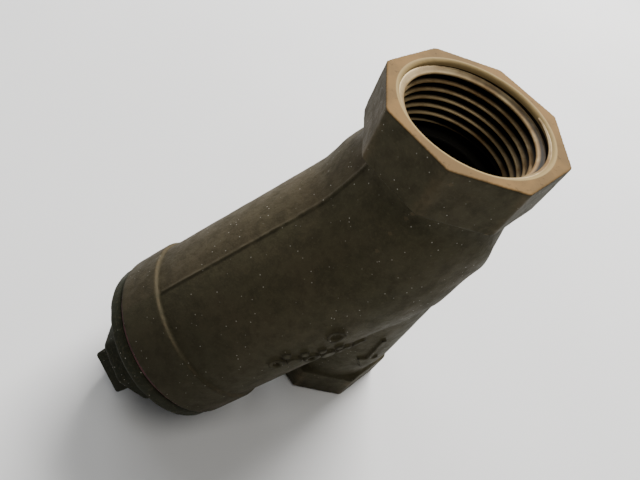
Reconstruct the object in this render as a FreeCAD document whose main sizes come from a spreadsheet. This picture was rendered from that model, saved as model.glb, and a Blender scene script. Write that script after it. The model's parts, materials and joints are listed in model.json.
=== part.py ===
"""Bronze Y strainer, 1 inch pipe size, octagonal threaded ends.

Frame: millimetres, +Z along the pipe run from the outlet end to the inlet end, origin at the
centre of the outlet end face.  The branch leaves the run towards -X and down.  Inside each
branch piece the local +Z runs along the branch, from the crossing of the two axes to the plug.
"""
import FreeCAD
import Part
import os

import Sketcher

DIMENSIONS = {
    # pipe run
    "run_length": 108.0,
    "crossing_height": 74.0,
    "branch_angle": 45.0,
    "socket_flats": 40.0,
    "socket_length": 13.1,
    "run_radius": 20.2,
    "passage_radius": 13.2,
    "pipe_thread_radius": 15.4,
    "pipe_thread_depth": 18.0,
    # branch casting, distances from the crossing
    "neck_start": 10.0,
    "neck_radius": 18.4,
    "neck_end": 5.0,
    "barrel_radius": 23.1,
    "collar_start": 61.2,
    "collar_radius": 24.0,
    "collar_end": 72.6,
    "chamber_radius": 18.2,
    "cap_thread_radius": 19.3,
    "cap_thread_start": 57.0,
    # web between inlet and chamber, with the screen seat
    "web_half": 2.0,
    "web_radius": 19.5,
    "seat_hole_radius": 12.6,
    "seat_radius": 15.0,
    "seat_depth": 2.4,
    # gasket and retainer cap
    "gasket_thickness": 1.0,
    "gasket_inner": 19.6,
    "gasket_outer": 23.5,
    "skirt_radius": 19.0,
    "skirt_length": 13.0,
    "skirt_recess_radius": 15.3,
    "recess_floor": 1.4,
    "flange_radius": 23.3,
    "flange_thickness": 4.0,
    "boss_flats": 26.0,
    "boss_length": 12.3,
    "plug_bore_radius": 8.5,
    # blow-off plug
    "shank_length": 11.8,
    "shank_clearance": 0.05,
    "plug_collar_radius": 7.6,
    "plug_collar_length": 1.4,
    "head_root_flats": 13.9,
    "head_tip_flats": 13.0,
    "head_length": 7.1,
    "plug_turn": 13.8,
    # strainer screen
    "screen_radius": 14.2,
    "screen_sheet": 0.6,
    "ring_width": 6.0,
    "ring_radius": 14.7,
    "screen_gap": 0.3,
    "seam_width": 5.0,
    "seam_thickness": 0.5,
}

ACROSS = FreeCAD.Vector(0, 1, 0)
ALONG = FreeCAD.Vector(0, 0, 1)
HALF_TURN = 180.0
OCTAGON_SIDES = 8
BRANCH_TILT = FreeCAD.Rotation(ACROSS, HALF_TURN + DIMENSIONS["branch_angle"])

doc = FreeCAD.newDocument("y_strainer")
sheet = doc.addObject("Spreadsheet::Sheet", "Sizes")
for row, (alias, number) in enumerate(DIMENSIONS.items(), start=1):
    sheet.set("A%d" % row, alias)
    sheet.set("B%d" % row, str(number))
    sheet.setAlias("B%d" % row, alias)
doc.recompute()

SUB_PARTS = []


def new_body(label):
    """Start one sub-part."""
    body = doc.addObject("PartDesign::Body", label)
    body.Label = label
    SUB_PARTS.append(body)
    return body


def base_plane(body, role="XY_Plane"):
    """One of the body's own origin planes."""
    for feature in body.Origin.OriginFeatures:
        if feature.Role == role:
            return feature
    raise RuntimeError("no plane %s in %s" % (role, body.Label))


def primitive(body, kind, name, sizes, start="0", on_branch=False):
    """Add a PartDesign primitive standing on the body's XY plane.

    sizes maps property names to expressions, and start is its height along the axis it stands
    on.  on_branch tilts it from the run onto the branch axis.
    """
    feature = body.newObject("PartDesign::" + kind, name)
    feature.AttachmentSupport = [(base_plane(body), "")]
    feature.MapMode = "FlatFace"
    for prop, expression in sizes.items():
        feature.setExpression(prop, expression)
    if on_branch:
        feature.AttachmentOffset = FreeCAD.Placement(FreeCAD.Vector(), BRANCH_TILT)
        feature.setExpression("AttachmentOffset.Rotation.Angle", "180 + Sizes.branch_angle")
        feature.setExpression(
            "AttachmentOffset.Base.x", "-(%s) * sin(Sizes.branch_angle)" % start)
        feature.setExpression(
            "AttachmentOffset.Base.z",
            "Sizes.crossing_height - (%s) * cos(Sizes.branch_angle)" % start)
    else:
        feature.setExpression("AttachmentOffset.Base.z", start)
    return feature


def cylinder(body, name, radius, start, end, cut=False, on_branch=False):
    """Round boss or bore between two heights along its axis."""
    kind = "SubtractiveCylinder" if cut else "AdditiveCylinder"
    sizes = {"Radius": radius, "Height": "(%s) - (%s)" % (end, start)}
    return primitive(body, kind, name, sizes, start, on_branch)


def octagon(body, name, flats, start, end):
    """Octagonal prism given across its flats, with a corner on local +X."""
    sizes = {"Circumradius": "%s / 2 / cos(180 / %d)" % (flats, OCTAGON_SIDES),
             "Height": "(%s) - (%s)" % (end, start)}
    feature = primitive(body, "AdditivePrism", name, sizes, start)
    feature.Polygon = OCTAGON_SIDES
    return feature


def on_branch_axis(body):
    """Place a branch piece, modelled along its own Z, onto the branch."""
    body.Placement = FreeCAD.Placement(FreeCAD.Vector(), BRANCH_TILT)
    body.setExpression("Placement.Base.z", "Sizes.crossing_height")
    body.setExpression("Placement.Rotation.Angle", "180 + Sizes.branch_angle")


def build_body_casting():
    """Cast run with two octagonal sockets, the branch barrel and the web with the screen seat."""
    body = new_body("body_casting")
    cylinder(body, "run_wall", "Sizes.run_radius", "0", "Sizes.run_length")
    neck = {"Radius1": "Sizes.neck_radius", "Radius2": "Sizes.barrel_radius",
            "Height": "Sizes.neck_end + Sizes.neck_start"}
    primitive(body, "AdditiveCone", "branch_neck", neck, "-Sizes.neck_start", on_branch=True)
    cylinder(body, "barrel", "Sizes.barrel_radius", "Sizes.neck_end", "Sizes.collar_start",
             on_branch=True)
    cylinder(body, "end_collar", "Sizes.collar_radius", "Sizes.collar_start",
             "Sizes.collar_end", on_branch=True)
    octagon(body, "outlet_socket", "Sizes.socket_flats", "0", "Sizes.socket_length")
    octagon(body, "inlet_socket", "Sizes.socket_flats",
            "Sizes.run_length - Sizes.socket_length", "Sizes.run_length")

    cylinder(body, "run_passage", "Sizes.passage_radius", "0", "Sizes.run_length", cut=True)
    cylinder(body, "chamber", "Sizes.chamber_radius", "Sizes.web_half", "Sizes.collar_end",
             cut=True, on_branch=True)
    cylinder(body, "web", "Sizes.web_radius", "-Sizes.web_half", "Sizes.web_half",
             on_branch=True)
    cylinder(body, "seat_hole", "Sizes.seat_hole_radius", "-Sizes.web_half", "Sizes.web_half",
             cut=True, on_branch=True)
    cylinder(body, "seat", "Sizes.seat_radius", "Sizes.web_half - Sizes.seat_depth",
             "Sizes.web_half", cut=True, on_branch=True)
    cylinder(body, "cap_thread", "Sizes.cap_thread_radius", "Sizes.cap_thread_start",
             "Sizes.collar_end", cut=True, on_branch=True)
    cylinder(body, "outlet_thread", "Sizes.pipe_thread_radius", "0",
             "Sizes.pipe_thread_depth", cut=True)
    cylinder(body, "inlet_thread", "Sizes.pipe_thread_radius",
             "Sizes.run_length - Sizes.pipe_thread_depth", "Sizes.run_length", cut=True)
    return body


def build_cap_gasket():
    """Flat fibre ring between the end collar and the cap flange."""
    body = new_body("cap_gasket")
    top = "Sizes.collar_end + Sizes.gasket_thickness"
    cylinder(body, "ring", "Sizes.gasket_outer", "Sizes.collar_end", top)
    cylinder(body, "hole", "Sizes.gasket_inner", "Sizes.collar_end", top, cut=True)
    on_branch_axis(body)
    return body


def build_retainer_cap():
    """Screwed cap: hollow skirt that holds the screen, flange and octagonal wrench boss."""
    body = new_body("retainer_cap")
    flange = "Sizes.collar_end + Sizes.gasket_thickness"
    boss = flange + " + Sizes.flange_thickness"
    tip = boss + " + Sizes.boss_length"
    cylinder(body, "skirt", "Sizes.skirt_radius", flange + " - Sizes.skirt_length", flange)
    cylinder(body, "flange", "Sizes.flange_radius", flange, boss)
    octagon(body, "wrench_boss", "Sizes.boss_flats", boss, tip)
    cylinder(body, "screen_recess", "Sizes.skirt_recess_radius",
             flange + " - Sizes.skirt_length", flange + " + Sizes.recess_floor", cut=True)
    cylinder(body, "plug_bore", "Sizes.plug_bore_radius", flange, tip, cut=True)
    on_branch_axis(body)
    return body


def build_blow_off_plug():
    """Solid pipe plug: threaded shank and a tapered square head."""
    body = new_body("blow_off_plug")
    face = ("Sizes.collar_end + Sizes.gasket_thickness + Sizes.flange_thickness"
            " + Sizes.boss_length")
    root = face + " + Sizes.plug_collar_length"
    cylinder(body, "shank", "Sizes.plug_bore_radius - Sizes.shank_clearance",
             face + " - Sizes.shank_length", face)
    cylinder(body, "shoulder", "Sizes.plug_collar_radius", face, root)

    sections = []
    for name, flats, height in (("head_root", "Sizes.head_root_flats", root),
                                ("head_tip", "Sizes.head_tip_flats",
                                 root + " + Sizes.head_length")):
        sections.append(square_sketch(body, name, flats, height))
    head = body.newObject("PartDesign::AdditiveLoft", "square_head")
    head.Profile = sections[0]
    head.Sections = sections[1:]
    on_branch_axis(body)
    return body


def square_sketch(body, name, flats, height):
    """Square outline with a corner at the angle plug_turn, at a height along the body's Z."""
    sketch = body.newObject("Sketcher::SketchObject", name)
    sketch.AttachmentSupport = [(base_plane(body), "")]
    sketch.MapMode = "FlatFace"
    half = DIMENSIONS[flats.split(".")[1]] / 2
    corners = [FreeCAD.Vector(x, y, 0)
               for x, y in ((half, half), (-half, half), (-half, -half), (half, -half))]
    following = corners[1:] + corners[:1]
    for corner, neighbour in zip(corners, following):
        sketch.addGeometry(Part.LineSegment(corner, neighbour), False)
    for side, after, direction in ((0, 1, "Horizontal"), (1, 2, "Vertical"),
                                   (2, 3, "Horizontal"), (3, 0, "Vertical")):
        sketch.addConstraint(Sketcher.Constraint("Coincident", side, 2, after, 1))
        sketch.addConstraint(Sketcher.Constraint(direction, side))
    sketch.addConstraint(Sketcher.Constraint("Symmetric", 0, 1, 1, 2, -1, 1))
    width = sketch.addConstraint(Sketcher.Constraint("DistanceX", 0, 2, 0, 1, 2 * half))
    depth = sketch.addConstraint(Sketcher.Constraint("DistanceY", 1, 2, 1, 1, 2 * half))
    sketch.setExpression("Constraints[%d]" % width, flats)
    sketch.setExpression("Constraints[%d]" % depth, flats)
    sketch.AttachmentOffset = FreeCAD.Placement(
        FreeCAD.Vector(), FreeCAD.Rotation(ALONG, DIMENSIONS["plug_turn"]))
    sketch.setExpression("AttachmentOffset.Base.z", height)
    sketch.setExpression("AttachmentOffset.Rotation.Angle", "Sizes.plug_turn + 45")
    return sketch


def tube(label, outer, inner, start, end):
    """Thin ring or sleeve on the branch axis."""
    body = new_body(label)
    cylinder(body, "outside", outer, start, end)
    cylinder(body, "inside", inner, start, end, cut=True)
    on_branch_axis(body)
    return body


def build_screen():
    """Cylindrical screen: sheet, two end bands and the strip over its lap seam."""
    low = "Sizes.web_half - Sizes.seat_depth + Sizes.screen_gap"
    high = ("Sizes.collar_end + Sizes.gasket_thickness + Sizes.recess_floor"
            " - Sizes.screen_gap")
    tube("screen_mesh", "Sizes.screen_radius", "Sizes.screen_radius - Sizes.screen_sheet",
         low, high)
    tube("screen_top_ring", "Sizes.ring_radius", "Sizes.screen_radius", low,
         low + " + Sizes.ring_width")
    tube("screen_bottom_ring", "Sizes.ring_radius", "Sizes.screen_radius",
         high + " - Sizes.ring_width", high)
    build_seam_strip(low + " + Sizes.ring_width", high + " - Sizes.ring_width")


def build_seam_strip(start, end):
    """Curved strip over the lap seam, between the two end bands."""
    body = new_body("screen_seam_strip")
    cylinder(body, "outside", "Sizes.screen_radius + Sizes.seam_thickness", start, end)
    cylinder(body, "inside", "Sizes.screen_radius", start, end, cut=True)
    block = {"Length": "3 * Sizes.screen_radius", "Width": "3 * Sizes.screen_radius",
             "Height": "(%s) - (%s)" % (end, start)}
    behind = "-3 * Sizes.screen_radius"
    middle = "-1.5 * Sizes.screen_radius"
    for name, left, front in (("trim_low", middle, "-Sizes.seam_width / 2 " + behind),
                              ("trim_high", middle, "Sizes.seam_width / 2"),
                              ("trim_back", behind, middle)):
        trim = primitive(body, "SubtractiveBox", name, block, start)
        trim.setExpression("AttachmentOffset.Base.x", left)
        trim.setExpression("AttachmentOffset.Base.y", front)
    on_branch_axis(body)
    return body


build_body_casting()
build_cap_gasket()
build_retainer_cap()
build_blow_off_plug()
build_screen()
doc.recompute()

for item in doc.Objects:
    if "Invalid" in item.State or "Error" in item.State:
        raise RuntimeError("%s did not rebuild: %s" % (item.Name, item.State))
for body in SUB_PARTS:
    if body.Shape.isNull() or not body.Shape.isValid():
        raise RuntimeError("%s has no valid shape" % body.Label)
    print(body.Label, "solids", len(body.Shape.Solids), "volume %.0f" % body.Shape.Volume)

os.makedirs("parts", exist_ok=True)
for body in SUB_PARTS:
    body.Shape.exportStep("parts/%s.step" % body.Label)
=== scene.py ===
"""Looks of a bronze Y strainer: cast body, screwed cap, plug, gasket and wire screen.

Shapes are worked out in millimetres.  The run goes along Z; the branch pieces are shaped along
their own axis and then laid on the branch.
"""

import json
import math

import bpy
import numpy as np
import openvdb
from mathutils import Matrix, Vector


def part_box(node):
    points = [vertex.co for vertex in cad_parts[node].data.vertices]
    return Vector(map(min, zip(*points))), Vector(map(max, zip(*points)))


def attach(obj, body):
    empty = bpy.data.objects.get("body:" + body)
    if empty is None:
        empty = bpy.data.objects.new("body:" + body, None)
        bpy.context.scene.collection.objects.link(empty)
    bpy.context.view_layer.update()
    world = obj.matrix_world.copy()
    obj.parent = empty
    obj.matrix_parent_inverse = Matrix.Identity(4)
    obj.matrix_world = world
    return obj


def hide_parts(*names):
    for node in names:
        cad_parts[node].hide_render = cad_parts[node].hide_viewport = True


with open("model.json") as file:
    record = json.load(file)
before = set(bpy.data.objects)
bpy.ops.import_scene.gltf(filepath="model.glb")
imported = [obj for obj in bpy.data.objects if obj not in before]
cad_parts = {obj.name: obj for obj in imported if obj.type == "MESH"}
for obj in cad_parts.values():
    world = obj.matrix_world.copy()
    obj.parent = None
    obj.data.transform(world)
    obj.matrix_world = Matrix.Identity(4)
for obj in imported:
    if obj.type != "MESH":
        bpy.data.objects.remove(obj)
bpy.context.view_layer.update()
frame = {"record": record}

MM = 0.001
RECORD = frame["record"]
MOUNTS = {mount["name"]: mount for mount in RECORD["mounts"]}
JOINTS = {joint["name"]: joint for joint in RECORD["behaviour"]["joints"]}

# ---------------------------------------------------------------- sizes, from the frame, in mm
RUN_LENGTH = MOUNTS["inlet_thread"]["pos_m"][2] / MM
CREST_RADIUS = MOUNTS["inlet_thread"]["dims"]["r_mm"]
THREAD_DEPTH = MOUNTS["inlet_thread"]["dims"]["length_mm"]
BRANCH = Vector(JOINTS["cap_travel"]["axis"])
CROSSING = JOINTS["cap_travel"]["pos_m"][2] / MM
RUN_AXIS = (0, 0, 1)
BRANCH_AXIS = tuple(BRANCH)


def across(node, axis):
    """Width of a CAD node along one axis of the frame, in mm."""
    low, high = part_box(node)
    return (high[axis] - low[axis]) / MM


COLLAR_RADIUS = across("body_casting", 1) / 2
FLANGE_RADIUS = across("retainer_cap", 1) / 2
GASKET_RADIUS = across("cap_gasket", 1) / 2
RING_RADIUS = across("screen_top_ring", 1) / 2
SCREEN_RADIUS = across("screen_mesh", 1) / 2


def along_branch(node, radius):
    """Distances from the crossing at which a round branch node of that radius starts and ends."""
    low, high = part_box(node)
    slope = -BRANCH.z
    tilt = radius * math.sqrt(1 - slope * slope)
    start = (CROSSING - high[2] / MM + tilt) / slope
    end = (CROSSING - low[2] / MM - tilt) / slope
    return start, end


COLLAR_END, FLANGE_START = along_branch("cap_gasket", GASKET_RADIUS)
SCREEN_LOW, SCREEN_HIGH = along_branch("screen_mesh", SCREEN_RADIUS)

# shapes that the frame's boxes don't tell, in mm
SOCKET_FLAT = 20.0
SOCKET_LENGTH = 13.1
RUN_RADIUS = 20.2
BARREL_BLEND = 1.8
BEAD_RADIUS = 0.9
CROTCH_BLEND = 7.0
PASSAGE_RADIUS = 13.2
NECK_THINNING = 1.1
BARREL_RADIUS = 23.1
BARREL_ROOT_RADIUS = 18.4
BARREL_START = -10.0
COLLAR_START = 61.2
CHAMBER_RADIUS = 18.2
CHAMBER_START = 2.0
WEB_RADIUS = 19.5
WEB_HALF = 2.0
SEAT_RADIUS = 15.0
SEAT_HOLE_RADIUS = 12.6
CAP_BORE_RADIUS = 20.4
CAP_BORE_START = 58.5
COLLAR_CREST_RADIUS = 19.3
MOUTH_RADIUS = 17.6
MOUTH_SLOPE = 1.1
PIPE_PITCH = 25.4 / 11.5
PIPE_DEPTH = 1.55
PIPE_TAPER = 1 / 32
CAP_LEAD = 25.4 / 12
PLUG_PITCH = 25.4 / 18
CAP_CREST_RADIUS = 20.15
SKIRT_RADIUS = 18.9
RECESS_RADIUS = 15.3
RECESS_END = FLANGE_START + 1.4
GASKET_BORE_RADIUS = 19.7
FLANGE_END = FLANGE_START + 4.0
BOSS_END = FLANGE_END + 12.3
BOSS_FLAT = 13.0
HEAD_START = BOSS_END + 1.4
HEAD_END = HEAD_START + 7.1
HEAD_ROOT = 6.95
HEAD_TIP = 6.5
PLUG_TURN = 13.8
PLUG_RADIUS = 7.6
PLUG_CREST_RADIUS = 8.42
PLUG_BORE_RADIUS = 8.55
SHANK_LENGTH = 11.8
SKIRT_START = FLANGE_START - 13.0
ARROW_X = -1.2
ARROW_HALF = 0.8
ARROW_TIP = 24.0
ARROW_NECK = 31.0
ARROW_TAIL = 44.0
STUD_PITCH = 4.4
STUD_RISE = 0.7
RING_WIDTH = 0.6
MARK_HEIGHT = 0.9
MARKED_SIDE = 10.0
FIN_HEIGHT = 0.32
FIN_HALF = 0.35
BAND_LENGTH = 6.0
SEAM_HALF = 2.5

# steps of the grids that the cast shapes are meshed from, in mm
BODY_STEP = 0.38
CAP_STEP = 0.36
PLUG_STEP = 0.27

# ---------------------------------------------------------------- fields: distance from a surface


def ease(value, low, high):
    """0 below low, 1 above high, smooth between."""
    share = np.clip((value - low) / (high - low), 0, 1)
    return share * share * (3 - 2 * share)


def union(a, b, blend=0.0):
    """Join two solids, with a fillet of about that size."""
    if np.all(np.asarray(blend) <= 0):
        return np.minimum(a, b)
    mix = np.clip(0.5 + 0.5 * (b - a) / blend, 0, 1)
    return b + (a - b) * mix - blend * mix * (1 - mix)


def common(a, b, blend=0.0):
    """What two solids share, with a rounded edge of about that size."""
    return -union(-a, -b, blend)


def slab(position, low, high):
    """The space between two planes."""
    return np.maximum(low - position, position - high)


def octagon(x, y, flat, turn, rounding):
    """Eight flats round an axis, with a corner at the angle turn."""
    field = None
    for k in range(4):
        angle = math.radians(turn + 22.5 + 45 * k)
        side = np.abs(x * math.cos(angle) + y * math.sin(angle)) - flat
        field = side if field is None else common(field, side, rounding)
    return field


def lattice(i, j, k, seed):
    """A repeatable number from 0 to 1 for each whole-number point."""
    n = i * 374761393 + j * 668265263 + k * 2147483647 + seed * 974634777
    n = (n ^ (n >> 13)) * 1274126177
    n = n ^ (n >> 16)
    return (n & 0xFFFFFF) / float(0xFFFFFF)


def noise(x, y, z, cell, seed):
    """Smooth noise from -1 to 1 whose lumps are about cell wide."""
    parts = []
    for value in (x, y, z):
        whole = np.floor(value / cell)
        rest = value / cell - whole
        parts.append((whole.astype(np.int64), rest * rest * (3 - 2 * rest)))
    total = np.zeros(np.shape(x))
    for dx in (0, 1):
        for dy in (0, 1):
            for dz in (0, 1):
                weight = 1.0
                for step, (whole, rest) in zip((dx, dy, dz), parts):
                    weight = weight * (rest if step else 1 - rest)
                total += weight * lattice(parts[0][0] + dx, parts[1][0] + dy,
                                          parts[2][0] + dz, seed)
    return 2 * total - 1


def sand(x, y, z, field, coarse=0.06, fine=0.035, dents=0.08):
    """Add the lumps of a sand mould to a cast surface, near the surface only."""
    near = np.abs(field) < 1.5
    lumps = coarse * noise(x[near], y[near], z[near], 8.0, 3)
    lumps += fine * noise(x[near], y[near], z[near], 1.3, 5)
    lumps += dents * ease(noise(x[near], y[near], z[near], 2.6, 7), 0.25, 0.75)
    result = field.copy()
    result[near] += lumps
    return result


def polygonise(shape, low, high, step):
    """Mesh of the surface where shape(x, y, z) is 0, from a grid of that step in mm."""
    axes = [np.arange(a - 2 * step, b + 3 * step, step, dtype=np.float32)
            for a, b in zip(low, high)]
    x, y, z = np.meshgrid(*axes, indexing="ij")
    band = 3 * step
    field = np.clip(shape(x, y, z), -band, band).astype(np.float32)
    grid = openvdb.FloatGrid(band)
    grid.copyFromArray(field)
    points, triangles, quads = grid.convertToPolygons(isovalue=0.0, adaptivity=0.0)
    origin = np.array([axis[0] for axis in axes])
    points = points * step + origin
    faces = [tuple(int(i) for i in face[::-1]) for face in triangles]
    faces += [tuple(int(i) for i in face[::-1]) for face in quads]
    return points, faces


# ---------------------------------------------------------------- pieces


def on_branch(points):
    """Move points shaped along the branch's own axis to where the branch is."""
    angle = math.atan2(BRANCH.x, BRANCH.z)
    points = np.asarray(points, dtype=float)
    turned = points.copy()
    turned[:, 0] = points[:, 0] * math.cos(angle) + points[:, 2] * math.sin(angle)
    turned[:, 2] = -points[:, 0] * math.sin(angle) + points[:, 2] * math.cos(angle) + CROSSING
    return turned


def piece(name, points, faces, material, body, nodes=(), smooth=True):
    """Make an object of a mesh given in mm and say what it rides on and stands for."""
    mesh = bpy.data.meshes.new(name)
    points = np.asarray(points, dtype=float) * MM
    mesh.from_pydata([tuple(p) for p in points], [], faces)
    mesh.validate()
    mesh.polygons.foreach_set("use_smooth", [smooth] * len(mesh.polygons))
    mesh.materials.append(material)
    thing = bpy.data.objects.new(name, mesh)
    bpy.context.scene.collection.objects.link(thing)
    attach(thing, body)
    if nodes:
        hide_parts(*nodes)
    return thing


def lathe(profile, segments=160):
    """Closed ring from an outline of (radius, height) points, turned about Z."""
    points = []
    faces = []
    count = len(profile)
    for k in range(segments):
        angle = 2 * math.pi * k / segments
        for radius, height in profile:
            points.append((radius * math.cos(angle), radius * math.sin(angle), height))
    for k in range(segments):
        here = k * count
        there = ((k + 1) % segments) * count
        for i in range(count):
            j = (i + 1) % count
            faces.append((here + i, there + i, there + j, here + j))
    return points, faces


def rounded_ring(inner, outer, low, high, radius, steps=3):
    """Outline of a ring of rectangular section with rounded corners."""
    corners = [(outer, low, -90), (outer, high, 0), (inner, high, 90), (inner, low, 180)]
    outline = []
    for r, h, start in corners:
        centre_r = r + (radius if r == inner else -radius)
        centre_h = h + (radius if h == low else -radius)
        for i in range(steps + 1):
            angle = math.radians(start + 90 * i / steps)
            outline.append((centre_r + radius * math.cos(angle),
                            centre_h + radius * math.sin(angle)))
    return outline


def screw_thread(base, crest, pitch, start, end, taper=0.0, phase=0.0, mouth=None,
                 segments=120):
    """Helical ridge between two heights.

    base and crest are radii at height 0, which both grow by taper for each mm of height.
    The ridge sinks into its wall at its ends, and mouth(height) is how far it may stand out
    where a countersink cuts it.
    """
    outward = 1 if crest > base else -1
    depth = abs(crest - base)
    half_foot = depth * math.tan(math.radians(30)) + 0.05 * pitch
    half_top = 0.05 * pitch
    bury = 0.4
    steps = 5
    flank = [(depth * i / steps, half_foot + (half_top - half_foot) * i / steps)
             for i in range(steps + 1)]
    section = [(-bury, -half_foot)] + [(out, -up) for out, up in flank]
    section += [(out, up) for out, up in reversed(flank)] + [(-bury, half_foot)]
    turns = (end - start) / pitch
    count = int(turns * segments)
    points = []
    faces = []
    for k in range(count + 1):
        t = k / count
        angle = 2 * math.pi * turns * t + phase
        middle = start + (end - start) * t
        fade = min(1.0, t * turns * 2, (1 - t) * turns * 2)
        for out, up in section:
            reach = out * fade if out > 0 else out
            height = middle + up * (0.3 + 0.7 * fade)
            if mouth is not None:
                height = max(height, bury)
                reach = min(reach, mouth(height))
            radius = base + taper * middle + outward * reach
            points.append((radius * math.cos(angle), radius * math.sin(angle), height))
    size = len(section)
    for k in range(count):
        here = k * size
        for i in range(size):
            j = (i + 1) % size
            quad = (here + i, here + j, here + size + j, here + size + i)
            faces.append(quad if outward < 0 else quad[::-1])
    cap_low = tuple(range(size))
    cap_high = tuple(count * size + i for i in range(size))
    if outward < 0:
        faces += [cap_low[::-1], cap_high]
    else:
        faces += [cap_low, cap_high[::-1]]
    return points, faces


# ---------------------------------------------------------------- materials


# first input and output of a Mix node for each kind of value
MIX_SOCKETS = {"VECTOR": (4, 1), "RGBA": (6, 2)}


class Nodes:
    """Short way to lay out a material's nodes."""

    def __init__(self, name):
        self.material = bpy.data.materials.new(name)
        self.material.use_nodes = True
        self.tree = self.material.node_tree
        self.shader = self.tree.nodes["Principled BSDF"]
        coords = self.tree.nodes.new("ShaderNodeTexCoord")
        self.place = coords.outputs["Object"]

    def link(self, value, socket):
        """Set a socket to a number or colour, or join it to another node's output."""
        if isinstance(value, bpy.types.NodeSocket):
            self.tree.links.new(value, socket)
        else:
            socket.default_value = value

    def math(self, kind, a, b=0.0, clamp=False):
        """Result of one step of arithmetic."""
        node = self.tree.nodes.new("ShaderNodeMath")
        node.operation = kind
        node.use_clamp = clamp
        self.link(a, node.inputs[0])
        self.link(b, node.inputs[1])
        return node.outputs[0]

    def times(self, a, b):
        """Product of two values."""
        return self.math("MULTIPLY", a, b)

    def invert(self, value):
        """1 where the value is 0 and 0 where it is 1."""
        return self.math("SUBTRACT", 1.0, value)

    def noise(self, scale, detail=3.0, rough=0.6):
        """Smooth noise from 0 to 1, with that many lumps to the metre."""
        node = self.tree.nodes.new("ShaderNodeTexNoise")
        node.inputs["Scale"].default_value = scale
        node.inputs["Detail"].default_value = detail
        node.inputs["Roughness"].default_value = rough
        self.link(self.place, node.inputs["Vector"])
        return node.outputs["Fac"]

    def spots(self, scale):
        """Distance from the nearest of a scatter of points."""
        node = self.tree.nodes.new("ShaderNodeTexVoronoi")
        node.inputs["Scale"].default_value = scale
        self.link(self.place, node.inputs["Vector"])
        return node.outputs["Distance"]

    def ramp(self, value, low, high):
        """0 below low, 1 above high, smooth between."""
        node = self.tree.nodes.new("ShaderNodeMapRange")
        node.interpolation_type = "SMOOTHSTEP"
        node.inputs["From Min"].default_value = low
        node.inputs["From Max"].default_value = high
        self.link(value, node.inputs["Value"])
        return node.outputs["Result"]

    def mix(self, amount, a, b, kind="RGBA"):
        """a where amount is 0 and b where it is 1, for colours or vectors."""
        node = self.tree.nodes.new("ShaderNodeMix")
        node.data_type = kind
        first, result = MIX_SOCKETS[kind]
        self.link(amount, node.inputs[0])
        self.link(a, node.inputs[first])
        self.link(b, node.inputs[first + 1])
        return node.outputs[result]

    def bump(self, height, strength, distance, normal=None):
        """Normal tilted as if the surface rose and fell with height."""
        node = self.tree.nodes.new("ShaderNodeBump")
        node.inputs["Strength"].default_value = strength
        node.inputs["Distance"].default_value = distance
        self.link(height, node.inputs["Height"])
        if normal is not None:
            self.link(normal, node.inputs["Normal"])
        return node.outputs["Normal"]

    def split(self):
        """The place's x, y and z."""
        node = self.tree.nodes.new("ShaderNodeSeparateXYZ")
        self.link(self.place, node.inputs[0])
        return node.outputs

    def vector(self, kind, a, b, output=0):
        """Result of one step of vector arithmetic."""
        node = self.tree.nodes.new("ShaderNodeVectorMath")
        node.operation = kind
        self.link(a, node.inputs[0])
        self.link(b, node.inputs[1])
        return node.outputs[output]

    def from_axis(self, axis):
        """Distance from the run's or the branch's axis, and the place along it."""
        here = self.vector("SUBTRACT", self.place, (0, 0, CROSSING * MM))
        sideways = self.vector("CROSS_PRODUCT", here, axis)
        return (self.vector("LENGTH", sideways, (0, 0, 0), "Value"),
                self.vector("DOT_PRODUCT", here, axis, "Value"))

    def near(self, value, middle, half, soft):
        """1 within half of middle, fading over soft."""
        off = self.math("ABSOLUTE", self.math("SUBTRACT", value, middle))
        return self.invert(self.ramp(off, half, half + soft))

    def pointiness(self):
        """About 0.5 on flat skin, more on edges and less in creases."""
        return self.tree.nodes.new("ShaderNodeNewGeometry").outputs["Pointiness"]

    def done(self, colour, rough, metal, normal, specular=0.5):
        """Feed the shader and give the material."""
        self.shader.inputs["Specular IOR Level"].default_value = specular
        self.link(colour, self.shader.inputs["Base Color"])
        self.link(rough, self.shader.inputs["Roughness"])
        self.link(metal, self.shader.inputs["Metallic"])
        self.link(normal, self.shader.inputs["Normal"])
        return self.material


OLIVE = (0.062, 0.056, 0.032, 1)
UMBER = (0.090, 0.070, 0.043, 1)
# dark tone for blotches and pits, and also painted shade towards the cap and inside the collar
# bore
SOOT_AND_SHADE = (0.024, 0.021, 0.014, 1)
# near black: grime, and also painted shade in creases, in the bore, beside the parting fin and in
# thread roots
GRIME_AND_SHADE = (0.010, 0.009, 0.007, 1)
DUST = (0.42, 0.39, 0.33, 1)
TURNED = (0.205, 0.124, 0.050, 1)
TURNED_DULL = (0.150, 0.095, 0.042, 1)
# lighter tone for rubbed metal on edges, and also a painted highlight there
WORN_AND_HIGHLIGHT = (0.13, 0.098, 0.056, 1)
GRIT = (0.105, 0.090, 0.050, 1)
CREST = (0.42, 0.32, 0.17, 1)
# painted light: lighter tone on the countersinks of the ends
MOUTH_PAINTED_LIGHT = (0.330, 0.245, 0.115, 1)


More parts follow.
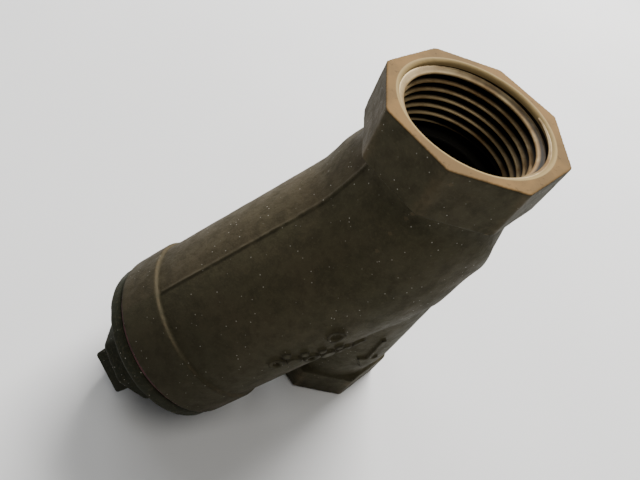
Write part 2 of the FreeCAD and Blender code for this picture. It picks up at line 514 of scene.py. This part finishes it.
def cast_skin(nodes, base, warm, dark, rub_and_highlight, warm_side=None):
    """Colour, roughness and bump of a patinated sand casting."""
    broad = nodes.times(nodes.ramp(nodes.noise(45, 4, 0.6), 0.35, 0.75), 0.45)
    if warm_side is not None:
        broad = nodes.math("ADD", broad, nodes.times(warm_side, 0.5), clamp=True)
    blotch = nodes.ramp(nodes.noise(260, 5, 0.7), 0.38, 0.68)
    grain = nodes.noise(1300, 3, 0.75)
    colour = nodes.mix(broad, base, warm)
    colour = nodes.mix(nodes.times(blotch, 0.38), colour, dark)
    colour = nodes.mix(nodes.times(nodes.ramp(grain, 0.50, 0.70), 0.30), colour, GRIT)
    pointiness = nodes.pointiness()
    # creases and hollows go near black: partly grime, partly painted shade standing in for shadow
    # lines under edges and round the marks
    hollow = nodes.invert(nodes.ramp(pointiness, 0.42, 0.485))
    colour = nodes.mix(nodes.times(hollow, 0.8), colour, GRIME_AND_SHADE)
    # edges get a lighter tone: partly rubbed metal, partly painted highlight
    edge = nodes.ramp(pointiness, 0.520, 0.58)
    colour = nodes.mix(nodes.times(edge, rub_and_highlight), colour, WORN_AND_HIGHLIGHT)
    specks = nodes.times(nodes.invert(nodes.ramp(nodes.spots(620), 0.055, 0.105)),
                         nodes.ramp(nodes.noise(120, 3, 0.6), 0.42, 0.56))
    colour = nodes.mix(specks, colour, DUST)
    rough = nodes.math("ADD", 0.58, nodes.times(blotch, 0.14))
    normal = nodes.bump(grain, 0.7, 0.00016)
    normal = nodes.bump(nodes.noise(480, 4, 0.65), 0.45, 0.00022, normal)
    return colour, rough, normal


def in_sockets(nodes, z):
    """1 in the two socket ends of the run, 0 between them."""
    between = nodes.near(z, RUN_LENGTH / 2 * MM, (RUN_LENGTH / 2 - SOCKET_LENGTH) * MM, MM)
    return nodes.invert(between)


def casting_lines(nodes, colour, y, z, radius, along):
    """Dirt and painted shade on the parting line; rubbed metal and painted highlight on the
    collar's step and the octagons' corners.

    The skin is also painted darker towards the cap: painted shade.
    """
    sockets = in_sockets(nodes, z)
    before_collar = nodes.invert(nodes.ramp(along, (COLLAR_START - 1) * MM, COLLAR_START * MM))
    # a dark line just on the shaded side of the parting fin: partly grime, partly painted shade
    seam = nodes.near(y, -0.5 * MM, 0.12 * MM, 0.4 * MM)
    seam = nodes.times(seam, nodes.times(nodes.invert(sockets), before_collar))
    seam = nodes.times(seam, nodes.ramp(nodes.noise(220, 3, 0.6), 0.25, 0.55))
    colour = nodes.mix(nodes.times(seam, 0.40), colour, GRIME_AND_SHADE)

    # the collar's step gets a lighter line: partly rubbed metal, partly painted highlight
    step = nodes.near(along, (COLLAR_START + 0.1) * MM, 0.06 * MM, 0.25 * MM)
    step = nodes.times(step, nodes.ramp(nodes.noise(260, 4, 0.7), 0.42, 0.62))
    colour = nodes.mix(nodes.times(step, 0.5), colour, WORN_AND_HIGHLIGHT)

    # painted shade: the skin darkens towards the cap, where the light falls off
    dim = nodes.ramp(along, 25 * MM, 75 * MM)
    colour = nodes.mix(nodes.times(dim, 0.45), colour, SOOT_AND_SHADE)

    # the octagons' corners get a lighter tone: partly rubbed metal, partly painted highlight
    corner = nodes.ramp(radius, (SOCKET_FLAT + 0.8) * MM, (SOCKET_FLAT + 1.5) * MM)
    corner = nodes.times(corner, sockets)
    corner = nodes.times(corner, nodes.ramp(nodes.noise(200, 4, 0.7), 0.35, 0.65))
    return nodes.mix(nodes.times(corner, 0.5), colour, WORN_AND_HIGHLIGHT)


def turned_metal(nodes, radius, mouth):
    """Colour and bump of the turned end faces and of the countersinks in them."""
    stain = nodes.ramp(nodes.noise(90, 5, 0.65), 0.40, 0.66)
    colour = nodes.mix(stain, TURNED, TURNED_DULL)
    pits = nodes.ramp(nodes.noise(700, 3, 0.7), 0.60, 0.72)
    colour = nodes.mix(nodes.times(pits, 0.4), colour, SOOT_AND_SHADE)
    # painted light: the countersink gets a lighter tone than the turned face
    colour = nodes.mix(nodes.times(mouth, 0.8), colour, MOUTH_PAINTED_LIGHT)
    rings = nodes.math("SINE", nodes.times(radius, 2 * math.pi / (0.22 * MM)))
    normal = nodes.bump(rings, 0.10, 0.00002)
    normal = nodes.bump(nodes.noise(700, 4, 0.6), 0.35, 0.0001, normal)
    return colour, normal


def body_material():
    """Cast skin outside, turned metal on the end faces and in the mouths of the threads."""
    nodes = Nodes("cast_bronze_body")
    _, y, z = nodes.split()
    radius, _ = nodes.from_axis(RUN_AXIS)
    reach, along = nodes.from_axis(BRANCH_AXIS)
    far_side = nodes.ramp(y, -0.6 * MM, 0.6 * MM)
    colour, rough, normal = cast_skin(nodes, OLIVE, UMBER, SOOT_AND_SHADE, 0.45, far_side)
    colour = casting_lines(nodes, colour, y, z, radius, along)

    middle = RUN_LENGTH / 2
    depth = nodes.math("SUBTRACT", middle * MM,
                       nodes.math("ABSOLUTE", nodes.math("SUBTRACT", z, middle * MM)))
    inside = nodes.invert(nodes.ramp(radius, (MOUTH_RADIUS + 0.3) * MM, (MOUTH_RADIUS + 0.5) * MM))
    mouth = nodes.times(nodes.invert(nodes.ramp(depth, 1.15 * MM, 1.3 * MM)), inside)
    face = nodes.invert(nodes.ramp(depth, 0.10 * MM, 0.22 * MM))
    turned = nodes.math("MAXIMUM", face, mouth)
    # painted shade: the bore past the countersink goes near black
    deep = nodes.times(nodes.times(inside, nodes.invert(mouth)), nodes.invert(face))
    # painted shade: the inside of the collar bore is darkened
    chamber = nodes.invert(nodes.ramp(reach, (CAP_BORE_RADIUS + 0.1) * MM,
                                      (CAP_BORE_RADIUS + 0.3) * MM))
    chamber = nodes.times(chamber, nodes.invert(nodes.ramp(
        along, (COLLAR_END - 0.3) * MM, (COLLAR_END - 0.1) * MM)))
    chamber = nodes.times(chamber, nodes.ramp(along, 18 * MM, 22 * MM))
    colour = nodes.mix(deep, colour, GRIME_AND_SHADE)
    colour = nodes.mix(nodes.times(chamber, 0.7), colour, SOOT_AND_SHADE)

    metal_colour, metal_normal = turned_metal(nodes, radius, mouth)
    colour = nodes.mix(turned, colour, metal_colour)
    normal = nodes.mix(turned, normal, metal_normal, "VECTOR")
    rough = nodes.math("ADD", nodes.times(rough, nodes.invert(turned)),
                       nodes.times(turned, 0.68))
    return nodes.done(colour, rough, 0.05, normal, 0.05)


def cap_material():
    """The cap and plug: a greener casting, painted darker as painted shade at the cap end."""
    nodes = Nodes("cast_bronze_cap")
    # painted shade: these tones are darker than the body's, for the shade at the cap end
    base = (0.022, 0.024, 0.014, 1)
    warm = (0.034, 0.032, 0.020, 1)
    colour, rough, normal = cast_skin(nodes, base, warm, SOOT_AND_SHADE, 0.12)
    return nodes.done(colour, rough, 0.12, normal, 0.07)


def thread_material(name, axis, crest, root, taper=0.0):
    """Turned bronze of a screw thread, bright on the crests and near black in the roots, with
    grime and painted shade there.

    A thread with a taper is in an end of the run, where the grime and painted shade in the
    roots start only past the first turn.
    """
    nodes = Nodes(name)
    radius, along = nodes.from_axis(axis)
    middle = (RUN_LENGTH / 2 - CROSSING) * MM
    depth = nodes.math("SUBTRACT", RUN_LENGTH / 2 * MM,
                       nodes.math("ABSOLUTE", nodes.math("SUBTRACT", along, middle)))
    radius = nodes.math("ADD", radius, nodes.times(depth, taper))
    low = (crest + (root - crest) * 0.20) * MM
    high = (crest + (root - crest) * 0.60) * MM
    # the roots go near black: partly grime, partly painted shade in the grooves
    dirt_and_shade = nodes.ramp(radius, low, high)
    if taper:
        dirt_and_shade = nodes.times(dirt_and_shade, nodes.ramp(depth, 1.2 * MM, 2.6 * MM))
    stain = nodes.ramp(nodes.noise(110, 4, 0.6), 0.36, 0.70)
    colour = nodes.mix(stain, CREST, TURNED)
    colour = nodes.mix(dirt_and_shade, colour, GRIME_AND_SHADE)
    normal = nodes.bump(nodes.noise(900, 3, 0.6), 0.3, 0.00006)
    rough = nodes.math("ADD", 0.46, nodes.times(stain, 0.15))
    return nodes.done(colour, rough, 0.35, normal, 0.3)


def gasket_material():
    """Red vulcanised fibre, darkened by oil."""
    nodes = Nodes("red_fibre")
    blotch = nodes.ramp(nodes.noise(130, 4, 0.6), 0.35, 0.7)
    colour = nodes.mix(blotch, (0.105, 0.014, 0.018, 1), (0.040, 0.009, 0.010, 1))
    normal = nodes.bump(nodes.noise(1400, 3, 0.7), 0.4, 0.0001)
    rough = nodes.math("ADD", 0.62, nodes.times(blotch, 0.18))
    return nodes.done(colour, rough, 0.0, normal)


def steel_material(name, tone, grain_scale):
    """Stainless wire and strip."""
    nodes = Nodes(name)
    tint = nodes.ramp(nodes.noise(160, 4, 0.6), 0.35, 0.72)
    colour = nodes.mix(tint, (tone, tone, tone * 0.97, 1),
                       (tone * 0.62, tone * 0.60, tone * 0.55, 1))
    normal = nodes.bump(nodes.noise(grain_scale, 3, 0.6), 0.25, 0.00005)
    rough = nodes.math("ADD", 0.30, nodes.times(tint, 0.18))
    return nodes.done(colour, rough, 0.95, normal)


BODY_SKIN = body_material()
CAP_SKIN = cap_material()
PIPE_THREADS = thread_material("pipe_thread_bronze", RUN_AXIS, CREST_RADIUS,
                               CREST_RADIUS + PIPE_DEPTH, PIPE_TAPER)
COLLAR_THREADS = thread_material("collar_thread_bronze", BRANCH_AXIS,
                                 COLLAR_CREST_RADIUS, CAP_BORE_RADIUS)
CAP_THREADS = thread_material("cap_thread_bronze", BRANCH_AXIS, CAP_CREST_RADIUS, SKIRT_RADIUS)
PLUG_THREADS = thread_material("plug_thread_bronze", BRANCH_AXIS, PLUG_CREST_RADIUS,
                               PLUG_RADIUS + 0.05)
FIBRE = gasket_material()
WIRE = steel_material("stainless_wire", 0.62, 1600)
STRIP = steel_material("stainless_strip", 0.66, 900)

# ---------------------------------------------------------------- body casting


def branch_place(x, y, z):
    """Distance along the branch and radius from its axis."""
    along = x * BRANCH.x + (z - CROSSING) * BRANCH.z
    across_axis = -x * BRANCH.z + (z - CROSSING) * BRANCH.x
    return along, np.hypot(across_axis, y)


def body_outside(x, y, z):
    """Outer skin of the casting before the ends are machined."""
    along, radius = branch_place(x, y, z)
    neck = ease(z, RUN_LENGTH - 24, RUN_LENGTH - 15) + ease(-z, -24, -15)
    run = np.hypot(x, y) - RUN_RADIUS + NECK_THINNING * neck
    swell = ease(along, BARREL_START, BARREL_START + 15)
    barrel = radius - (BARREL_ROOT_RADIUS + (BARREL_RADIUS - BARREL_ROOT_RADIUS) * swell)
    barrel = common(barrel, BARREL_START - along, 3.0)
    barrel = common(barrel, along - COLLAR_END, 0.0)
    skin = union(run, barrel, BARREL_BLEND + CROTCH_BLEND * ease(z, 60, 88))
    bead = np.maximum(np.hypot(run, barrel) - BEAD_RADIUS, slab(along, 8, 28))
    skin = union(skin, bead, 0.3)
    flats = octagon(x, y, SOCKET_FLAT, 0.0, 0.35)
    for low, high in ((RUN_LENGTH - SOCKET_LENGTH, RUN_LENGTH + 5), (-5, SOCKET_LENGTH)):
        socket = common(flats, slab(z, low, high), 0.5)
        skin = union(skin, socket, 0.7)
    collar = common(radius - COLLAR_RADIUS, slab(along, COLLAR_START, COLLAR_END + 5), 0.5)
    skin = union(skin, collar, 0.4)
    return union(skin, parting_fin(skin, y, z, along), 0.25), along, radius


def parting_fin(skin, y, z, along):
    """Thin line of flash where the two mould halves met."""
    fin = common(np.abs(y) - FIN_HALF, skin - FIN_HEIGHT, 0.3)
    fin = np.maximum(fin, along - (COLLAR_START - 1.0))
    return np.maximum(fin, slab(z, SOCKET_LENGTH, RUN_LENGTH - SOCKET_LENGTH - 0.5))


def flow_arrow(x, z):
    """Outline of the arrow on each side of the outlet leg, pointing the way the water goes."""
    off = np.abs(x - ARROW_X)
    shaft = np.maximum(off - ARROW_HALF, slab(z, ARROW_NECK, ARROW_TAIL))
    head = np.maximum((off - (z - ARROW_TIP) * 0.5) * 0.9, z - ARROW_NECK - 0.5)
    return np.minimum(shaft, head)


def stud(x, z, middle_x, middle_z, radius):
    """Outline of a round stud."""
    return np.hypot(x - middle_x, z - middle_z) - radius


def foundry_pips(x, z):
    """Outline of two rows of plain studs along the side of the branch, some of them rings."""
    pips = np.abs(stud(x, z, -22.2, 58.7, 1.9)) - 0.55
    for k in range(6):
        along = STUD_PITCH * k
        rise = STUD_RISE * k
        if k % 2:
            pip = stud(x, z, along - 34.5, rise + 47.0, 2.0)
        else:
            pip = np.abs(stud(x, z, along - 34.5, rise + 47.0, 1.5)) - RING_WIDTH
        pips = np.minimum(pips, pip)
        if k < 4:
            pips = np.minimum(pips, stud(x, z, along - 32.6, rise + 50.6, 1.2))
    return pips


def raised_marks(skin, x, y, z):
    """Cast marks standing proud of the skin on both sides."""
    marks = np.minimum(flow_arrow(x, z), foundry_pips(x, z))
    return np.maximum(common(marks, skin - MARK_HEIGHT, 0.2), MARKED_SIDE - np.abs(y))


def pipe_bore(radius, depth):
    """Threaded end: bore at the thread roots, and the countersunk mouth."""
    root = CREST_RADIUS + PIPE_DEPTH - PIPE_TAPER * depth
    bore = np.maximum(radius - root, depth - THREAD_DEPTH)
    mouth = radius - (MOUTH_RADIUS - MOUTH_SLOPE * depth)
    return union(bore, mouth)


def body_cavities(x, y, z, along, radius):
    """Passages, chamber, web with the screen seat, and threaded ends."""
    from_axis = np.hypot(x, y)
    hollow = np.maximum(from_axis - PASSAGE_RADIUS, slab(z, -5, RUN_LENGTH + 5))
    chamber = np.maximum(radius - CHAMBER_RADIUS, CHAMBER_START - along)
    hollow = union(hollow, chamber, 1.2)
    web = np.maximum(radius - WEB_RADIUS, np.abs(along) - WEB_HALF)
    hollow = common(hollow, -web, 0.6)
    seat_hole = np.maximum(radius - SEAT_HOLE_RADIUS, np.abs(along) - (WEB_HALF + 1.0))
    seat = np.maximum(radius - SEAT_RADIUS, slab(along, -0.4, WEB_HALF + 1.0))
    hollow = union(union(hollow, seat_hole), seat)
    cap_bore = np.maximum(radius - CAP_BORE_RADIUS, CAP_BORE_START - along)
    hollow = union(hollow, cap_bore)
    hollow = union(hollow, pipe_bore(from_axis, RUN_LENGTH - z))
    return union(hollow, pipe_bore(from_axis, z))


def body_field(x, y, z):
    """The casting: outer skin with marks and sand, cut to length and hollowed."""
    skin, along, radius = body_outside(x, y, z)
    skin = union(skin, raised_marks(skin, x, y, z), 0.25)
    skin = sand(x, y, z, skin)
    skin = np.maximum(skin, slab(z, 0.0, RUN_LENGTH))
    skin = np.maximum(skin, along - COLLAR_END)
    skin = np.maximum(skin, np.abs(y) - COLLAR_RADIUS + 0.02)
    return np.maximum(skin, -body_cavities(x, y, z, along, radius))


def make_body():
    """The casting's skin and the turns of its three threads."""
    low, high = [[c / MM for c in corner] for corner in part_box("body_casting")]
    points, faces = polygonise(body_field, low, high, BODY_STEP)
    piece("body_casting_skin", points, faces, BODY_SKIN, "root",
          ["body_casting"])
    root = CREST_RADIUS + PIPE_DEPTH
    for name, top in (("inlet_thread_turns", True), ("outlet_thread_turns", False)):
        points, faces = screw_thread(
            root, CREST_RADIUS, PIPE_PITCH, 0.7, THREAD_DEPTH - 1.5, -PIPE_TAPER,
            mouth=lambda depth: root - MOUTH_RADIUS + MOUTH_SLOPE * depth - 0.02)
        points = np.array(points)
        if top:
            points[:, 1] *= -1
            points[:, 2] = RUN_LENGTH - points[:, 2]
        piece(name, points, faces, PIPE_THREADS, "root")
    start = CAP_BORE_START + 1.0
    points, faces = screw_thread(CAP_BORE_RADIUS, COLLAR_CREST_RADIUS, CAP_LEAD, start,
                                 COLLAR_END - 0.6,
                                 phase=2 * math.pi * start / CAP_LEAD + math.pi)
    piece("collar_thread_turns", on_branch(points), faces, COLLAR_THREADS, "root")


# ---------------------------------------------------------------- cap, plug, gasket


def cap_field(x, y, z):
    """The cap: flange, octagonal boss and skirt, with the recess and the plug's bore."""
    radius = np.hypot(x, y)
    flange = common(radius - FLANGE_RADIUS, slab(z, FLANGE_START, FLANGE_END), 1.2)
    flats = octagon(x, y, BOSS_FLAT + (BOSS_END - z) * 0.03, 0.0, 0.9)
    boss = common(flats, slab(z, FLANGE_START + 1, BOSS_END), 1.0)
    skin = sand(x, y, z, union(flange, boss, 4.0))
    skin = np.maximum(skin, FLANGE_START - z)
    skirt = np.maximum(radius - SKIRT_RADIUS, slab(z, SKIRT_START, FLANGE_START + 1))
    skirt = np.maximum(skirt, radius - SKIRT_RADIUS - (z - SKIRT_START) + 1.0)
    skin = union(skin, skirt)
    hollow = np.maximum(radius - RECESS_RADIUS, z - RECESS_END)
    bore = radius - PLUG_BORE_RADIUS
    sink = radius - PLUG_BORE_RADIUS - (z - BOSS_END + 0.9)
    return np.maximum(skin, -union(union(hollow, bore), sink))


def make_cap():
    """The cap's skin and the turns of its thread."""
    points, faces = polygonise(cap_field, (-FLANGE_RADIUS, -FLANGE_RADIUS, SKIRT_START),
                               (FLANGE_RADIUS, FLANGE_RADIUS, BOSS_END), CAP_STEP)
    piece("retainer_cap_skin", on_branch(points), faces, CAP_SKIN, "cap_body",
          ["retainer_cap"])
    start = SKIRT_START + 1.2
    points, faces = screw_thread(SKIRT_RADIUS, CAP_CREST_RADIUS, CAP_LEAD, start,
                                 FLANGE_START - 1.2, phase=2 * math.pi * start / CAP_LEAD)
    piece("cap_thread_turns", on_branch(points), faces, CAP_THREADS, "cap_body")


def plug_field(x, y, z):
    """The plug: tapered square head on a round shank."""
    angle = math.radians(PLUG_TURN)
    a = x * math.cos(angle) + y * math.sin(angle)
    b = -x * math.sin(angle) + y * math.cos(angle)
    # corners point along a and b, so the flats are square to the diagonals
    first = np.abs(a + b) / math.sqrt(2)
    second = np.abs(a - b) / math.sqrt(2)
    half = HEAD_ROOT + (z - HEAD_START) * (HEAD_TIP - HEAD_ROOT) / (HEAD_END - HEAD_START)
    head = common(first - half, second - half, 0.9)
    head = common(head, slab(z, HEAD_START - 0.6, HEAD_END), 0.8)
    radius = np.hypot(x, y)
    end = BOSS_END - SHANK_LENGTH
    neck = np.maximum(radius - PLUG_RADIUS, slab(z, end, HEAD_START))
    neck = np.maximum(neck, radius - PLUG_RADIUS - (z - end) + 0.8)
    return union(sand(x, y, z, head), neck, 0.6)


def make_plug():
    """The plug's skin and the turns of its thread."""
    points, faces = polygonise(plug_field, (-11, -11, BOSS_END - SHANK_LENGTH),
                               (11, 11, HEAD_END), PLUG_STEP)
    piece("blow_off_plug_skin", on_branch(points), faces, CAP_SKIN, "plug_body",
          ["blow_off_plug"])
    points, faces = screw_thread(PLUG_RADIUS - 0.05, PLUG_CREST_RADIUS, PLUG_PITCH,
                                 BOSS_END - SHANK_LENGTH + 1.0, BOSS_END + 0.6)
    piece("plug_thread_turns", on_branch(points), faces, PLUG_THREADS, "plug_body")


def make_gasket():
    """Flat fibre ring with a slightly uneven rim."""
    profile = rounded_ring(GASKET_BORE_RADIUS, GASKET_RADIUS - 0.4, COLLAR_END, FLANGE_START, 0.3)
    points, faces = lathe(profile, 200)
    points = np.array(points)
    radius = np.hypot(points[:, 0], points[:, 1])
    wobble = 0.1 * noise(points[:, 0], points[:, 1], 0 * radius, 5.0, 9)
    grow = np.where(radius > 22, 1 + wobble / radius, 1)
    points[:, 0] *= grow
    points[:, 1] *= grow
    piece("cap_gasket_ring", on_branch(points), faces, FIBRE, "gasket_body",
          ["cap_gasket"])


# ---------------------------------------------------------------- screen

WIRES_ROUND = 70
WIRE_RADIUS = 0.15
WEAVE = 0.15
WEAVE_RADIUS = SCREEN_RADIUS - WEAVE - WIRE_RADIUS
WIRE_PITCH = 2 * math.pi * WEAVE_RADIUS / WIRES_ROUND


def tube(centres, closed, sides=4):
    """Wire round a list of (angle, radius, height) centres on the screen."""
    count = len(centres)
    angle, radius, height = centres.T
    lines = np.stack([radius * np.cos(angle), radius * np.sin(angle), height], 1)
    if closed:
        ahead = np.roll(lines, -1, 0) - np.roll(lines, 1, 0)
    else:
        ahead = np.gradient(lines, axis=0)
    ahead /= np.linalg.norm(ahead, axis=1)[:, None]
    out = np.stack([np.cos(angle), np.sin(angle), 0 * angle], 1)
    side = np.cross(ahead, out)
    side /= np.linalg.norm(side, axis=1)[:, None]
    out = np.cross(side, ahead)
    rings = []
    for k in range(sides):
        turn = 2 * math.pi * (k + 0.5) / sides
        rings.append(lines + WIRE_RADIUS * (math.cos(turn) * out + math.sin(turn) * side))
    points = np.stack(rings, 1).reshape(-1, 3)
    faces = []
    last = count if closed else count - 1
    for i in range(last):
        here = i * sides
        there = ((i + 1) % count) * sides
        for k in range(sides):
            j = (k + 1) % sides
            faces.append((here + k, there + k, there + j, here + j))
    if not closed:
        faces.append(tuple(range(sides)))
        faces.append(tuple((count - 1) * sides + k for k in range(sides))[::-1])
    return points, faces


def make_screen_mesh():
    """Plain weave: wires along the screen and hoops round it, over and under by turns."""
    points = []
    faces = []
    offset = 0
    rows = int((SCREEN_HIGH - SCREEN_LOW - 1.0) / WIRE_PITCH)
    start = SCREEN_LOW + 0.5
    height = np.arange(0, rows * WIRE_PITCH + 0.01, WIRE_PITCH / 4)
    jobs = []
    for i in range(WIRES_ROUND):
        angle = np.full(len(height), 2 * math.pi * i / WIRES_ROUND)
        radius = WEAVE_RADIUS + WEAVE * np.cos(math.pi * height / WIRE_PITCH + math.pi * i)
        jobs.append((np.stack([angle, radius, start + height], 1), False))
    round_angle = np.arange(WIRES_ROUND * 4) * 2 * math.pi / (WIRES_ROUND * 4)
    for k in range(rows + 1):
        wave = np.cos(round_angle * WIRES_ROUND / 2 + math.pi * k)
        level = np.full(len(round_angle), start + k * WIRE_PITCH)
        jobs.append((np.stack([round_angle, WEAVE_RADIUS - WEAVE * wave, level], 1), True))
    for centres, closed in jobs:
        wire_points, wire_faces = tube(centres, closed)
        points.append(wire_points)
        faces += [tuple(i + offset for i in face) for face in wire_faces]
        offset += len(wire_points)
    piece("screen_wires", on_branch(np.concatenate(points)), faces, WIRE, "screen_body",
          ["screen_mesh"])


def make_bands():
    """Rolled bands at the two ends of the screen."""
    for name, low, high, node in (
            ("screen_top_band", SCREEN_LOW, SCREEN_LOW + BAND_LENGTH, "screen_top_ring"),
            ("screen_bottom_band", SCREEN_HIGH - BAND_LENGTH, SCREEN_HIGH, "screen_bottom_ring")):
        profile = rounded_ring(SCREEN_RADIUS, RING_RADIUS, low, high, 0.2)
        points, faces = lathe(profile, 180)
        piece(name, on_branch(points), faces, STRIP, "screen_body", [node])


def make_seam():
    """Strip over the lap seam, with a row of spot welds."""
    low = SCREEN_LOW + BAND_LENGTH
    high = SCREEN_HIGH - BAND_LENGTH
    half = math.asin(SEAM_HALF / SCREEN_RADIUS)
    columns = 16
    rows = 160
    points = []
    faces = []
    for layer in (0, 1):
        for i in range(rows + 1):
            height = low + (high - low) * i / rows
            for j in range(columns + 1):
                angle = half * (2 * j / columns - 1)
                radius = SCREEN_RADIUS + 0.02
                if layer:
                    spot = math.hypot((height - low) % 7.0 - 3.5, angle * SCREEN_RADIUS)
                    edge = min(1.0, (1 - abs(2 * j / columns - 1)) * 6)
                    radius += 0.24 + 0.12 * edge - 0.16 * math.exp(-(spot / 0.8) ** 2)
                points.append((radius * math.cos(angle), radius * math.sin(angle), height))
    stride = columns + 1
    size = (rows + 1) * stride
    for i in range(rows):
        for j in range(columns):
            a = i * stride + j
            inner = (a, a + stride, a + stride + 1, a + 1)
            faces.append(inner)
            faces.append(tuple(size + k for k in inner[::-1]))
    rim = list(range(columns))
    rim += [i * stride + columns for i in range(rows)]
    rim += [rows * stride + j for j in range(columns, 0, -1)]
    rim += [i * stride for i in range(rows, 0, -1)]
    for a, b in zip(rim, rim[1:] + rim[:1]):
        faces.append((a, b, b + size, a + size))
    piece("screen_seam", on_branch(points), faces, STRIP, "screen_body",
          ["screen_seam_strip"])


make_body()
make_cap()
make_plug()
make_gasket()
make_screen_mesh()
make_bands()
make_seam()

# ---------------------------------------------------------------- floor, light, camera


def make_floor():
    """Plain pale sheet under the far edge of the outlet end and the lowest corner of the plug.

    It goes down with the plug, so that pieces drawn out of the branch stay above it.
    """
    plug = bpy.data.objects["blow_off_plug_skin"].data.vertices
    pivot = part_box("body_casting")[1].x
    slope = max(-vertex.co.z / (pivot - vertex.co.x) for vertex in plug)
    bpy.ops.mesh.primitive_plane_add(size=3.0, location=(pivot, 0, 0),
                                     rotation=(0, -math.atan(slope), 0))
    floor = bpy.context.object
    floor.name = "floor"
    nodes = Nodes("pale_floor")
    tint = nodes.ramp(nodes.noise(6, 3, 0.5), 0.3, 0.7)
    colour = nodes.mix(tint, (0.74, 0.745, 0.755, 1), (0.77, 0.775, 0.785, 1))
    normal = nodes.bump(nodes.noise(400, 2, 0.5), 0.05, 0.0001)
    floor.data.materials.append(nodes.done(colour, 0.75, 0.0, normal))
    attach(floor, "plug_body")


def area_light(name, place, aim, size, power, colour):
    """Rectangular light at a place, shining at aim."""
    data = bpy.data.lights.new(name, "AREA")
    data.shape = "RECTANGLE"
    data.size = size[0]
    data.size_y = size[1]
    data.energy = power
    data.color = colour
    lamp = bpy.data.objects.new(name, data)
    lamp.location = place
    lamp.rotation_euler = (Vector(aim) - Vector(place)).to_track_quat("-Z", "Y").to_euler()
    bpy.context.scene.collection.objects.link(lamp)


def make_lights():
    """Dim room, a strong light high behind the inlet, and two weak ones."""
    world = bpy.data.worlds.new("room")
    world.use_nodes = True
    background = world.node_tree.nodes["Background"]
    background.inputs["Color"].default_value = (0.93, 0.94, 0.96, 1)
    background.inputs["Strength"].default_value = 0.12
    bpy.context.scene.world = world
    area_light("ceiling_strip", (0.50, 0.48, 0.78), (0.1, 0, 0.0), (0.6, 0.5), 25,
               (1.0, 0.98, 0.95))
    area_light("overhead", (0.05, -0.20, 1.0), (0.05, 0, 0.0), (0.4, 0.4), 3, (1.0, 0.97, 0.90))
    area_light("window", (-0.25, 0.90, 0.60), (0, 0, 0.05), (0.6, 0.6), 4, (0.96, 0.98, 1.0))


def make_camera():
    """Wide camera close above the inlet, leaning left, as the strainer is looked at."""
    place = Vector((-0.07089, -0.06204, 0.16020))
    target = Vector((-0.02037, 0.00161, 0.06348))
    lean = math.radians(-26.93)
    ahead = (target - place).normalized()
    level = ahead.cross(Vector((0, 0, 1))).normalized()
    upright = level.cross(ahead)
    right = level * math.cos(lean) - upright * math.sin(lean)
    top = upright * math.cos(lean) + level * math.sin(lean)
    data = bpy.data.cameras.new("camera")
    data.lens = 27.66
    data.sensor_width = 36
    data.clip_start = 0.005
    camera = bpy.data.objects.new("camera", data)
    turn = Matrix((right, top, -ahead)).transposed().to_4x4()
    camera.matrix_world = Matrix.Translation(place) @ turn
    bpy.context.scene.collection.objects.link(camera)
    bpy.context.scene.camera = camera


make_floor()
make_lights()
make_camera()
